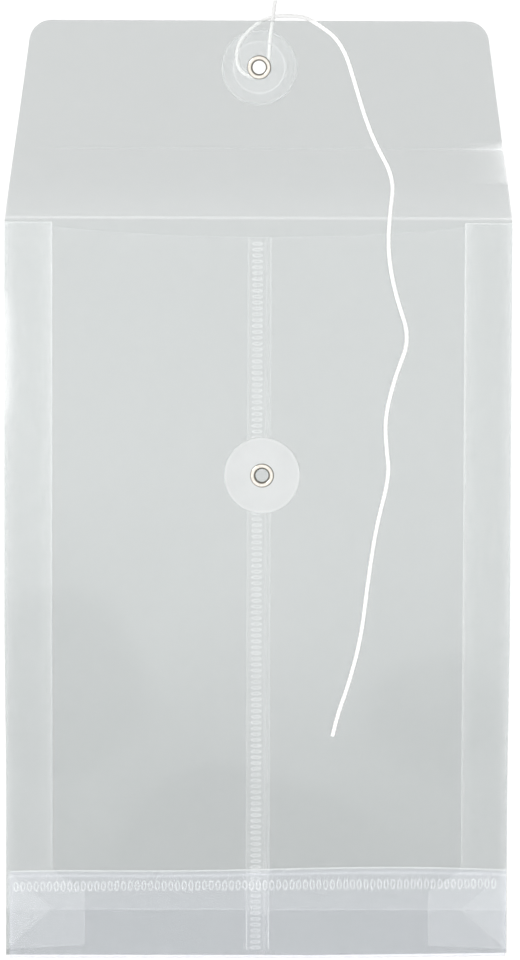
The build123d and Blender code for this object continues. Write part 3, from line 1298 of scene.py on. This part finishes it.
    def bottom_flap(self) -> None:
        """Build the flap that folds up from the back over the front halves."""
        film = self.layout.film
        radius = self.fold_radius - film / 2
        bend = math.pi * radius
        longest = bend + self.hem_crest - self.fold_radius
        left = -self.layout.half_width + self.hem_inset_left
        right = self.layout.half_width - self.hem_inset_right
        press_line = longest - self.hem_press
        fold_line = WhiteningAndSheen(self.hem_fold_strength, bend / 2)

        def place(x: float, y: float) -> Vector:
            """Lay one point of the flap.

            Args:
                x: place across the flap.
                y: distance round the fold and up the front.

            Returns:
                The frame point.
            """
            low = self.fold_radius - self.fold_sag(x)
            if y < bend:
                turn = y / radius
                start = self.layout.table.at(x, low - self.layout.body_length)
                lift = Vector((0.0, -radius * math.sin(turn), self.fold_radius - radius * math.cos(turn)))
                return start + lift
            run = (y - bend) / (longest - bend)
            up = low + (self.hem_height(x) - low) * run
            return self.layout.front.at(x, up - self.layout.body_length, self.hem_lift + film / 2)

        def creased(x: float, y: float) -> float:
            """Whiten the fold, the line pressed below the top edge, and softly both ends: crease whitening
            with painted highlights where the round fold and the pressed line catch light.

            Args:
                x: place across the flap.
                y: distance round the fold and up the front.

            Returns:
                The whitening.
            """
            ends = self.hem_left_end.at(x - left) + self.hem_right_end.at(right - x)
            return fold_line.at(y - bend / 2) + self.hem_press_line.at(y - press_line) + ends

        outline = [(left, 0.0), (right, 0.0), (right, longest), (left, longest)]
        fold_step = bend / self.fold_steps
        round_fold = spaced(fold_step, fold_step, self.fold_steps + self.fold_steps // 2)
        press_cuts = spaced(press_line - 0.7 * MM, 0.35 * MM, 5)
        blank = FilmBlank(
            "bottom_flap_film", outline, place, self.layout, plain=(Edge.LOW, Edge.LEFT, Edge.RIGHT),
            cuts_across=[*spaced(left + MM, MM, 3), *spaced(right - MM, -MM, 3)],
            cuts_along=[*round_fold, *press_cuts], creased=creased,
        )
        piece = blank.build([self.palette.hem, self.palette.hem_edge])
        settle(piece, "body", "film", "bottom_flap")

    def build(self) -> None:
        """Build every film of the body."""
        self.back()
        self.bottom_flap()
        for side in Side:
            self.front(side)
            self.gusset(side)
            self.tuck(side)


@dataclass(frozen=True)
class FilmFlap:
    """The flap's film: a shoulder from the mouth crease to the first score, and the tongue beyond it."""

    layout: Layout
    palette: Palette
    second_score: float = 21.75 * MM
    score_half: float = 0.3 * MM
    score_depths: Point2 = (0.012 * MM, 0.05 * MM)
    score_line: WhiteningAndSheen = WhiteningAndSheen(0.14, 0.3 * MM)
    score_run: Stretch = Stretch(-80 * MM, 90 * MM, 20 * MM)
    score_end: WhiteningAndSheen = WhiteningAndSheen(0.25, 0.3 * MM)
    score_end_run: Stretch = Stretch(52 * MM, 90 * MM, 24 * MM)
    crease_line: WhiteningAndSheen = WhiteningAndSheen(0.34, 0.35 * MM)
    crease_haze: WhiteningAndSheen = WhiteningAndSheen(0.26, 13 * MM)
    corner: float = 6.0 * MM
    fold_reach: float = 0.7 * MM
    fold_cuts: Sequence[float] = (-0.7, -0.3, 0.0, 0.3, 0.7)
    shoulder_cuts: Point2 = (3.0 * MM, 6.5 * MM)
    bend_margins: Point2 = (1.0 * MM, 3.0 * MM)
    bend_soft: float = 2.0 * MM
    bend_below: float = 0.2
    bend_edge: WhiteningAndSheen = WhiteningAndSheen(0.24, 2.6 * MM)
    bend_haze: WhiteningAndSheen = WhiteningAndSheen(0.23, 10 * MM)
    flash: WhiteningAndSheen = WhiteningAndSheen(0.15, 12 * MM)
    flash_rise: float = 0.6 * MM
    flash_reach: float = 2.4 * MM
    flash_cut: float = 2.0 * MM

    def half_at(self, y: float) -> float:
        """Return half the flap's width at a height above the crease."""
        share = max(0.0, y) / self.layout.flap_height
        return self.layout.half_width + (self.layout.flap_top_half - self.layout.half_width) * share

    def place(self, x: float, y: float) -> Vector:
        """Lay one point of the flap, with the two pressed score lines.

        Args:
            x: place across the flap.
            y: height above the crease.

        Returns:
            The frame point.
        """
        half_film = self.layout.film / 2
        if y < 0.0:
            return self.layout.table.at(x, y, half_film)
        dent = 0.0
        for score, depth in zip((self.layout.first_score, self.second_score), self.score_depths):
            if abs(y - score) < 0.5 * self.score_half:
                dent = depth
        return self.layout.flap.at(x, y, -half_film - dent)

    def cuts(self, *places: float) -> list[float]:
        """Return fine cuts about folding and score lines."""
        return [spot + step * MM for spot in places for step in self.fold_cuts]

    def end_cuts(self) -> list[float]:
        """Return fine cuts across the flap's right end, where it was bent."""
        return spaced(64.0 * MM, 1.2 * MM, 13)

    def strip(self, name: str, low: float, high: float, **choices: object) -> Piece:
        """Return the flap's film between two heights.

        Args:
            name: the film's name.
            low: its lower height above the crease.
            high: its upper height above the crease.
            choices: further fields of the blank.

        Returns:
            The film as an object.
        """
        outline = [
            (-self.half_at(low), low), (self.half_at(low), low),
            (self.half_at(high), high), (-self.half_at(high), high),
        ]
        blank = FilmBlank(
            name, outline, self.place, self.layout, creased=self.creased,
            cuts_across=self.end_cuts(), **choices,
        )
        return blank.build([self.palette.flap, self.palette.flap_edge])

    def creased(self, x: float, y: float) -> float:
        """Whiten the crease with a broad painted sheen about it, the second score faintly with a painted
        highlight at its right end, and paint highlights on the flap's bent end at the right.

        Args:
            x: place across the flap.
            y: height above the crease.

        Returns:
            The whitening.
        """
        away = y - self.second_score
        second = self.score_line.at(away) * self.score_run.share(x)
        second += self.score_end.at(away) * self.score_end_run.share(x)
        return self.crease_line.at(y) + self.crease_haze.at(y) + second + self.bent_end(x, y)

    def bent_end(self, x: float, y: float) -> float:
        """Return the painted highlights on the flap's right end, which was bent between the two scores,
        with a painted flash of light at the second score.

        Args:
            x: place across the flap.
            y: height above the crease.

        Returns:
            The whitening.
        """
        inside = self.half_at(y) - x
        first = self.layout.first_score
        before, after = self.bend_margins
        bend = Stretch(first - before, self.second_score + after, self.bend_soft).share(y)
        if y < first:
            bend = max(bend, self.bend_below)
        flash = self.flash.at(inside) * glow(y - self.second_score - self.flash_rise, self.flash_reach)
        return bend * (self.bend_edge.at(inside) + self.bend_haze.at(inside)) + flash

    def build(self) -> None:
        """Build the shoulder and the tongue, laid at rest and parted at the first score."""
        score = self.layout.first_score
        reach = self.fold_reach
        flap = self.layout.flap
        shoulder = self.strip(
            "flap_shoulder_film", -reach, score - reach, plain=(Edge.LOW, Edge.HIGH),
            cuts_along=[*self.cuts(0.0), *self.shoulder_cuts],
        )
        crease = (self.layout.table.at(0.0, -reach), flap.at(0.0, reach))
        fold_over(shoulder, ("body", "shoulder"), *crease, "film", "flap_shoulder")
        tongue = self.strip(
            "flap_tongue_film", score - reach, self.layout.flap_height, plain=[Edge.LOW],
            round_corners=(2, 3), corner_radius=self.corner, hole=(*FLAP_EYELET, FILM_HOLE),
            cuts_along=self.cuts(score, self.second_score, self.second_score + self.flash_cut),
        )
        line = (flap.at(0.0, score - reach), flap.at(0.0, score + reach))
        fold_over(tongue, ("shoulder", "tongue"), *line, "film", "flap_tongue")


@dataclass(frozen=True)
class Welds:
    """Heat welds: raised ovals with a bright rim, down the centre seam and along the bottom flap."""

    layout: Layout
    palette: Palette
    height: float = 0.10 * MM
    oval_sides: int = 18
    oval_steps: Sequence[Point2] = ((0.14 * MM, 0.9), (0.2 * MM, 0.1), (0.12 * MM, -0.75))
    seam_size: Point2 = (3.5 * MM, 1.3 * MM)
    seam_pitch: float = 1.84 * MM
    seam_x: float = -0.33 * MM
    seam_first: float = 8.2 * MM
    seam_last: float = 231.0 * MM
    seam_lift: float = 0.45 * MM
    eyelet_room: float = 5.05 * MM
    hem_size: Point2 = (1.7 * MM, 3.4 * MM)
    hem_pitch: float = 2.13 * MM
    hem_row: float = 22.2 * MM
    hem_tilt: float = 0.0082
    hem_first: float = -76.125 * MM
    hem_last: float = 77.025 * MM
    hem_lift: float = 0.80 * MM

    def oval(self, size: Point2) -> bpy.types.Mesh:
        """Return one weld about local Z: a low oval with a rounded rim and a sunken middle.

        Args:
            size: its width and length.

        Returns:
            The weld's mesh.
        """
        shape = bmesh.new()
        bmesh.ops.create_circle(shape, cap_ends=True, segments=self.oval_sides, radius=0.5)
        bmesh.ops.scale(shape, vec=(size[0], size[1], 1.0), verts=shape.verts[:])
        face = shape.faces[:]
        for inset, lift in self.oval_steps:
            bmesh.ops.inset_region(
                shape, faces=face, thickness=inset, use_even_offset=True, use_boundary=True
            )
            verts = list({vert for item in face for vert in item.verts})
            bmesh.ops.translate(shape, vec=(0.0, 0.0, lift * self.height), verts=verts)
        for item in face:
            item.material_index = 1
        return bmesh_to_mesh("weld_oval", shape)

    def row(self, name: str, size: Point2, spots: Iterable[Matrix], bead: Material, node: str) -> None:
        """Build one row of welds as a single piece.

        Args:
            name: the piece's name.
            size: one weld's width and length.
            spots: where the welds are.
            bead: the finish of their rims.
            node: the CAD node that the row replaces.
        """
        stamp = self.oval(size)
        shape = bmesh.new()
        for spot in spots:
            count = len(shape.verts)
            shape.from_mesh(stamp)
            bmesh.ops.transform(shape, matrix=spot, verts=shape.verts[count:])
        bpy.data.meshes.remove(stamp)
        piece = new_object(name, bmesh_to_mesh(name, shape), [bead, self.palette.front])
        settle(piece, "body", "weld", node)

    def build(self) -> None:
        """Build both rows."""
        front = self.layout.front
        count = int((self.seam_last - self.seam_first) / self.seam_pitch) + 1
        drops = spaced(self.seam_first, self.seam_pitch, count)
        clear = [drop for drop in drops if abs(drop + BODY_EYELET[1]) > self.eyelet_room]
        seam = [front.matrix(self.seam_x, -drop, self.seam_lift) for drop in clear]
        self.row("seam_weld_ovals", self.seam_size, seam, self.palette.seam_weld, "seam_welds")
        count = int((self.hem_last - self.hem_first) / self.hem_pitch) + 1
        low = self.hem_row - self.layout.body_length
        across = spaced(self.hem_first, self.hem_pitch, count)
        hem = [front.matrix(x, low + self.hem_tilt * x, self.hem_lift) for x in across]
        self.row("hem_weld_ovals", self.hem_size, hem, self.palette.hem_weld, "hem_welds")


@dataclass(frozen=True)
class ButtonSet:
    """A button disc, its backing washer and the eyelet that holds both to the film."""

    name: str
    plane: WorkPlane
    spot: Point2
    disc_base: float
    washer_base: float
    flange_base: float
    grip: float
    bodies: tuple[str, str]
    palette: Palette
    plastics: Sequence[Material]
    disc_radius: float = 11.9 * MM
    disc_bore: float = 2.375 * MM
    disc_height: float = 0.7 * MM
    disc_edge: float = 0.22 * MM
    disc_step: float = 0.06 * MM
    disc_slope: float = 0.25 * MM
    disc_roll: float = 0.75 * MM
    disc_rim: float = 0.5 * MM
    washer_radius: float = 8.3 * MM
    washer_height: float = 0.4 * MM
    washer_edge: float = 0.13 * MM
    washer_rim: float = 0.45 * MM
    bore: float = 2.025 * MM
    barrel: float = 2.325 * MM
    flange_radius: float = 3.75 * MM
    flange_height: float = 0.35 * MM
    flange_lip: float = 0.05 * MM
    crown: float = 3.0 * MM
    bore_drop: float = 0.1 * MM
    curl: float = 0.32 * MM
    curl_drop: float = 0.03 * MM
    rim_radius: float = 3.6 * MM

    def seat(self, lift: float) -> Matrix:
        """Return the seat of a piece at a lift above the film's plane."""
        return self.plane.matrix(self.spot[0], self.spot[1], lift)

    def disc(self) -> None:
        """Build the button: a thin round disc with a rolled rim on both faces."""
        high = self.disc_height
        edge = self.disc_edge
        step = self.disc_step
        roll = self.disc_radius - self.disc_roll
        flat = roll - self.disc_slope
        outer = self.disc_radius - edge
        profile = [(self.disc_bore, step), (flat, step), (roll, 0.0)]
        profile += arc_points((outer, edge), edge, -90.0, 0.0, 6)
        profile += arc_points((outer, high - edge), edge, 0.0, 90.0, 6)
        profile += [(roll, high), (flat, high - step), (self.disc_bore, high - step)]
        piece = spun(
            f"{self.name}_button_disc", profile, self.seat(self.disc_base), self.plastics,
            rim_from=self.disc_radius - self.disc_rim,
        )
        settle(piece, self.bodies[1], "button", f"{self.name}_button")

    def washer(self) -> None:
        """Build the smaller washer on the film's other side."""
        high = self.washer_height
        edge = self.washer_edge
        outer = self.washer_radius - edge
        rim = self.washer_radius - self.washer_rim
        profile = [(FILM_HOLE, 0.0), (rim, 0.0)]
        profile += arc_points((outer, edge), edge, -90.0, 0.0, 5)
        profile += arc_points((outer, high - edge), edge, 0.0, 90.0, 5)
        profile += [(rim, high), (FILM_HOLE, high)]
        finishes = [self.palette.washer, self.palette.washer_rim]
        piece = spun(
            f"{self.name}_washer_ring", profile, self.seat(self.washer_base), finishes, rim_from=rim
        )
        settle(piece, self.bodies[0], "button", f"{self.name}_backing_washer")

    def eyelet(self) -> None:
        """Build the eyelet: a domed flange rolled into the bore, a barrel and a curled rim below."""
        roll = self.flange_height / 2
        low = -self.grip
        throat = self.bore + self.curl
        top = self.flange_height
        funnel = self.crown - self.bore
        reach = self.flange_radius - self.crown
        drop = top - self.flange_lip
        dome = (reach * reach + drop * drop) / (2.0 * drop)
        lean = math.degrees(math.acos(reach / dome))
        profile = [(self.flange_radius - self.flange_lip, 0.0)]
        profile += arc_points((self.crown, top - dome), dome, lean, 90.0, 10)
        profile += arc_points((self.crown, top - funnel), funnel, 90.0, 180.0, 14)[1:]
        profile += [(self.bore, low - self.bore_drop)]
        profile += arc_points((throat, low - self.curl_drop), self.curl, 190.0, 270.0, 6)
        profile += arc_points((self.rim_radius - roll, low - roll), roll, -90.0, 90.0, 8)
        profile += [(self.barrel, low), (self.barrel, 0.0)]
        seat = self.seat(self.flange_base)
        piece = spun(f"{self.name}_eyelet_metal", profile, seat, [self.palette.nickel])
        settle(piece, self.bodies[0], "eyelet", f"{self.name}_eyelet")

    def build(self) -> None:
        """Build the set."""
        self.disc()
        self.washer()
        self.eyelet()


@dataclass(frozen=True)
class TieString:
    """The tie string: three twisted strands along the route that the CAD holds, whose points are in mm."""

    layout: Layout
    palette: Palette
    diameter: float = 1.2 * MM
    strands: int = 3
    strand_radius: float = 0.35 * MM
    strand_offset: float = 0.28 * MM
    strand_facets: int = 2
    pitch: float = 4.0 * MM
    line_steps: int = 28
    front_lift: float = 1.15 * MM
    meeting_share: float = 1.0 / 3.0
    score_span: Point2 = (14.0 * MM, 8.0 * MM)
    mouth_span: Point2 = (6.0 * MM, -3.0 * MM)
    tail_points: Sequence[Point3] = (
        (3.025, 47.1, -0.9), (3.025, 54.0, -0.9), (4.2, 62.0, -0.9), (4.9, 67.9, -1.4),
    )
    upper_points: Sequence[Point3] = (
        (3.025, 47.1, -0.9), (3.025, 44.075, -0.9), (-3.2, 44.075, -0.9), (-6.3, 46.3, -0.9),
        (-7.3, 50.6, -0.9), (-6.2, 55.2, -0.9), (-3.0, 58.8, -0.9), (0.5, 61.6, -1.5), (5.0, 63.1, -2.7),
        (10.0, 63.2, -0.9), (14.6, 62.7, 0.8), (19.2, 60.0, 0.7), (24.2, 56.2, 0.7), (27.4, 50.6, 0.7),
        (29.6, 43.6, 0.7), (32.9, 32.6, 0.7), (36.4, 23.6, 0.7), (42.6, 12.5, 0.7),
    )
    mouth_rise: Point3 = (40.4, -4.0, 7.75)
    lower_points: Sequence[Point2] = (
        (41.0, 15.0), (43.4, 25.5), (47.6, 37.8), (43.0, 49.5), (39.8, 62.5), (40.3, 72.0), (41.4, 81.0),
        (37.2, 97.0), (34.6, 115.5), (32.6, 132.5), (28.6, 147.5), (25.3, 156.5), (23.8, 163.2),
    )

    def on_flap(self, points: Iterable[Point3]) -> list[Vector]:
        """Return frame points for (x, height above the crease, offset from the inner face) in mm."""
        return [self.layout.flap.at(x * MM, y * MM, z * MM) for x, y, z in points]

    def curve(self, name: str, kind: str, points: Sequence[Vector]) -> bpy.types.Curve:
        """Return a curve of one open spline.

        Args:
            name: the curve's name.
            kind: the spline's type.
            points: its control points.

        Returns:
            The curve.
        """
        curve = bpy.data.curves.new(name, "CURVE")
        curve.dimensions = "3D"
        spline = curve.splines.new(kind)
        spline.points.add(len(points) - 1)
        for control, point in zip(spline.points, points):
            control.co = (*point, 1.0)
        return curve

    def centre_line(self, points: Sequence[Vector]) -> list[Vector]:
        """Return points read along the smooth line that has the route's points as control points.

        Args:
            points: the route's points.

        Returns:
            The points of the line, close together.
        """
        curve = self.curve("string_route", "NURBS", points)
        spline = curve.splines[0]
        spline.order_u = 3
        spline.use_endpoint_u = True
        spline.resolution_u = self.line_steps
        return self.read_curve(curve, lambda mesh: [vert.co.copy() for vert in mesh.vertices])

    def read_curve(self, curve: bpy.types.Curve, reader: Callable) -> object:
        """Turn a curve into a mesh, read something from it, and clear both away.

        Args:
            curve: the curve.
            reader: what is called with the mesh.

        Returns:
            What the reader returned.
        """
        holder = bpy.data.objects.new(curve.name, curve)
        mesh = bpy.data.meshes.new_from_object(holder)
        found = reader(mesh)
        bpy.data.objects.remove(holder)
        bpy.data.curves.remove(curve)
        bpy.data.meshes.remove(mesh)
        return found

    def strand(self, line: Sequence[Vector], phase: float) -> list[Vector]:
        """Return one strand's helix about a centre line.

        Args:
            line: the centre line's points.
            phase: where the strand starts, in turns.

        Returns:
            The strand's points.
        """
        tangent = (line[1] - line[0]).normalized()
        normal = tangent.orthogonal().normalized()
        travelled = 0.0
        points = []
        for index, spot in enumerate(line):
            ahead = line[min(index + 1, len(line) - 1)]
            behind = line[max(index - 1, 0)]
            heading = (ahead - behind).normalized()
            normal = tangent.rotation_difference(heading) @ normal
            tangent = heading
            if index:
                travelled += (spot - line[index - 1]).length
            turn = math.tau * (phase + travelled / self.pitch)
            side = normal * math.cos(turn) + tangent.cross(normal) * math.sin(turn)
            points.append(spot + side * self.strand_offset)
        return points

    def twisted(self, name: str, line: Sequence[Vector]) -> Piece:
        """Return strands twisted round a centre line, as one piece.

        Args:
            name: the piece's name.
            line: the centre line's points.

        Returns:
            The string as an object.
        """
        shape = bmesh.new()
        for number in range(self.strands):
            curve = self.curve("string_strand", "POLY", self.strand(line, number / self.strands))
            curve.bevel_depth = self.strand_radius
            curve.bevel_resolution = self.strand_facets
            curve.use_fill_caps = True
            self.read_curve(curve, shape.from_mesh)
        bmesh.ops.recalc_face_normals(shape, faces=shape.faces[:])
        return new_object(name, bmesh_to_mesh(name, shape), [self.palette.thread])

    def build(self) -> None:
        """Build the tail, the stretch on the flap and the stretch on the front."""
        flap = self.layout.flap
        tail = self.twisted("string_tail_strands", self.centre_line(self.on_flap(self.tail_points)))
        settle(tail, "tongue", "string", "string_tail")
        upper = self.on_flap(self.upper_points)
        rise = self.layout.table.at(*(value * MM for value in self.mouth_rise))
        meeting = upper[-1].lerp(rise, self.meeting_share)
        upper_line = self.centre_line([*upper, meeting])
        upper_piece = self.twisted("string_upper_strands", upper_line)
        score = [flap.at(0.0, height) for height in self.score_span]
        fold_over(upper_piece, ("tongue", "shoulder"), *score, "string", "string_turn", "string_upper")
        lower = [self.layout.front.at(x * MM, -y * MM, self.front_lift) for x, y in self.lower_points]
        lower_line = self.centre_line([meeting, rise, *lower])
        lower_piece = self.twisted("string_lower_strands", lower_line)
        mouth = (flap.at(0.0, self.mouth_span[0]), self.layout.table.at(0.0, self.mouth_span[1]))
        fold_over(lower_piece, ("shoulder", "body"), *mouth, "string", "string_bridge", "string_lower")


@dataclass(frozen=True)
class Studio:
    """White ground, soft overhead light and the photograph's camera."""

    distance: float = 1.2
    target: Point3 = (0.683 * MM, 3.156 * MM, 0.0)
    tilt: Point3 = (-2.502, -0.546, 0.157)
    lens: float = 142.57
    sensor: float = 36.0
    clip_start: float = 0.05
    ground_half: float = 2.0
    ground_drop: float = 0.1 * MM
    ground_levels: Point2 = (0.60, 0.61)
    world_level: float = 2.55
    room_lean: Point3 = (-7.0, 9.0, 0.0)
    wall: Point2 = (0.42, 0.18)
    ceiling: Point2 = (0.82, 1.0)
    key_spot: Point3 = (-0.7, 0.6, 0.9)
    key_size: float = 0.5
    key_power: float = 3.0
    film_bounces: int = 48

    def camera(self) -> None:
        """Place the camera straight above, as the photograph was taken."""
        data = bpy.data.cameras.new("photo_camera")
        data.sensor_fit = "VERTICAL"
        data.sensor_height = self.sensor
        data.lens = self.lens
        data.clip_start = self.clip_start
        camera = bpy.data.objects.new("photo_camera", data)
        about_x, about_y, about_z = (math.radians(angle) for angle in self.tilt)
        turn = Matrix.Rotation(about_x, 4, "X") @ Matrix.Rotation(about_y, 4, "Y")
        turn = turn @ Matrix.Rotation(about_z, 4, "Z")
        reach = Matrix.Translation(Vector((0.0, 0.0, self.distance)))
        camera.matrix_world = Matrix.Translation(Vector(self.target)) @ turn @ reach
        bpy.context.scene.collection.objects.link(camera)
        bpy.context.scene.camera = camera

    def ground(self) -> None:
        """Lay the white ground."""
        shape = bmesh.new()
        bmesh.ops.create_grid(shape, x_segments=2, y_segments=2, size=self.ground_half)
        bmesh.ops.translate(shape, vec=(0.0, 0.0, -self.ground_drop), verts=shape.verts[:])
        desk = NodeDesk("white_ground")
        desk.set(Roughness=0.9)
        shade, light = (grey(level, 0.0) for level in self.ground_levels)
        cloud = desk.ramp(desk.noise(scale=4.0, detail=2.0), [(0.3, shade), (0.7, light)])
        desk.join(cloud, desk.shader.inputs["Base Color"])
        ground = new_object("ground", bmesh_to_mesh("ground", shape), [desk.material])

    def room(self) -> bpy.types.World:
        """Return a soft room: a bright ceiling over darker walls, which give the metal its dark lines.

        Returns:
            The world.
        """
        world = bpy.data.worlds.new("soft_room")
        world.use_nodes = True
        tree = world.node_tree
        background = tree.nodes["Background"]
        background.inputs["Strength"].default_value = self.world_level
        split = tree.nodes.new("ShaderNodeSeparateXYZ")
        coords = tree.nodes.new("ShaderNodeTexCoord")
        lean = tree.nodes.new("ShaderNodeMapping")
        lean.inputs["Rotation"].default_value = [math.radians(angle) for angle in self.room_lean]
        tree.links.new(coords.outputs["Generated"], lean.inputs["Vector"])
        tree.links.new(lean.outputs["Vector"], split.inputs["Vector"])
        ramp = tree.nodes.new("ShaderNodeValToRGB")
        for element, (place, level) in zip(ramp.color_ramp.elements, (self.wall, self.ceiling)):
            element.position = place
            element.color = grey(level, 0.0)
        tree.links.new(split.outputs["Z"], ramp.inputs["Fac"])
        tree.links.new(ramp.outputs["Color"], background.inputs["Color"])
        return world

    def key_light(self) -> None:
        """Hang one soft square light that faces the envelope."""
        data = bpy.data.lights.new("key_light", "AREA")
        data.size = self.key_size
        data.energy = self.key_power
        light = bpy.data.objects.new("key_light", data)
        light.location = self.key_spot
        light.rotation_euler = (-Vector(self.key_spot)).to_track_quat("-Z", "Y").to_euler()
        bpy.context.scene.collection.objects.link(light)

    def build(self) -> None:
        """Build the ground, light and camera."""
        scene = bpy.context.scene
        scene.view_settings.view_transform = "Standard"
        scene.cycles.transparent_max_bounces = self.film_bounces
        scene.world = self.room()
        self.ground()
        self.key_light()
        self.camera()


def main() -> None:
    """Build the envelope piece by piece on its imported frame."""
    logging.basicConfig(level=logging.INFO, format="%(message)s")
    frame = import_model()
    layout = Layout.from_frame(frame)
    palette = Palette(layout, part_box("flap_tongue")[1][1])
    Studio().build()
    TieString(layout, palette).build()
    FilmBody(layout, palette).build()
    FilmFlap(layout, palette).build()
    Welds(layout, palette).build()
    flap_set = ButtonSet(
        "flap", layout.flap, FLAP_EYELET, disc_base=-2.3 * MM, washer_base=0.05 * MM,
        flange_base=0.50 * MM, grip=2.85 * MM, bodies=("tongue", "flap_disc"), palette=palette,
        plastics=(palette.flap_button, palette.flap_rim),
    )
    body_set = ButtonSet(
        "body", layout.front, BODY_EYELET, disc_base=1.85 * MM, washer_base=-0.45 * MM,
        flange_base=2.60 * MM, grip=3.10 * MM, bodies=("body", "body_disc"), palette=palette,
        plastics=(palette.front_button, palette.front_rim),
    )
    for buttons in (flap_set, body_set):
        buttons.build()


if __name__ == "__main__":
    main()
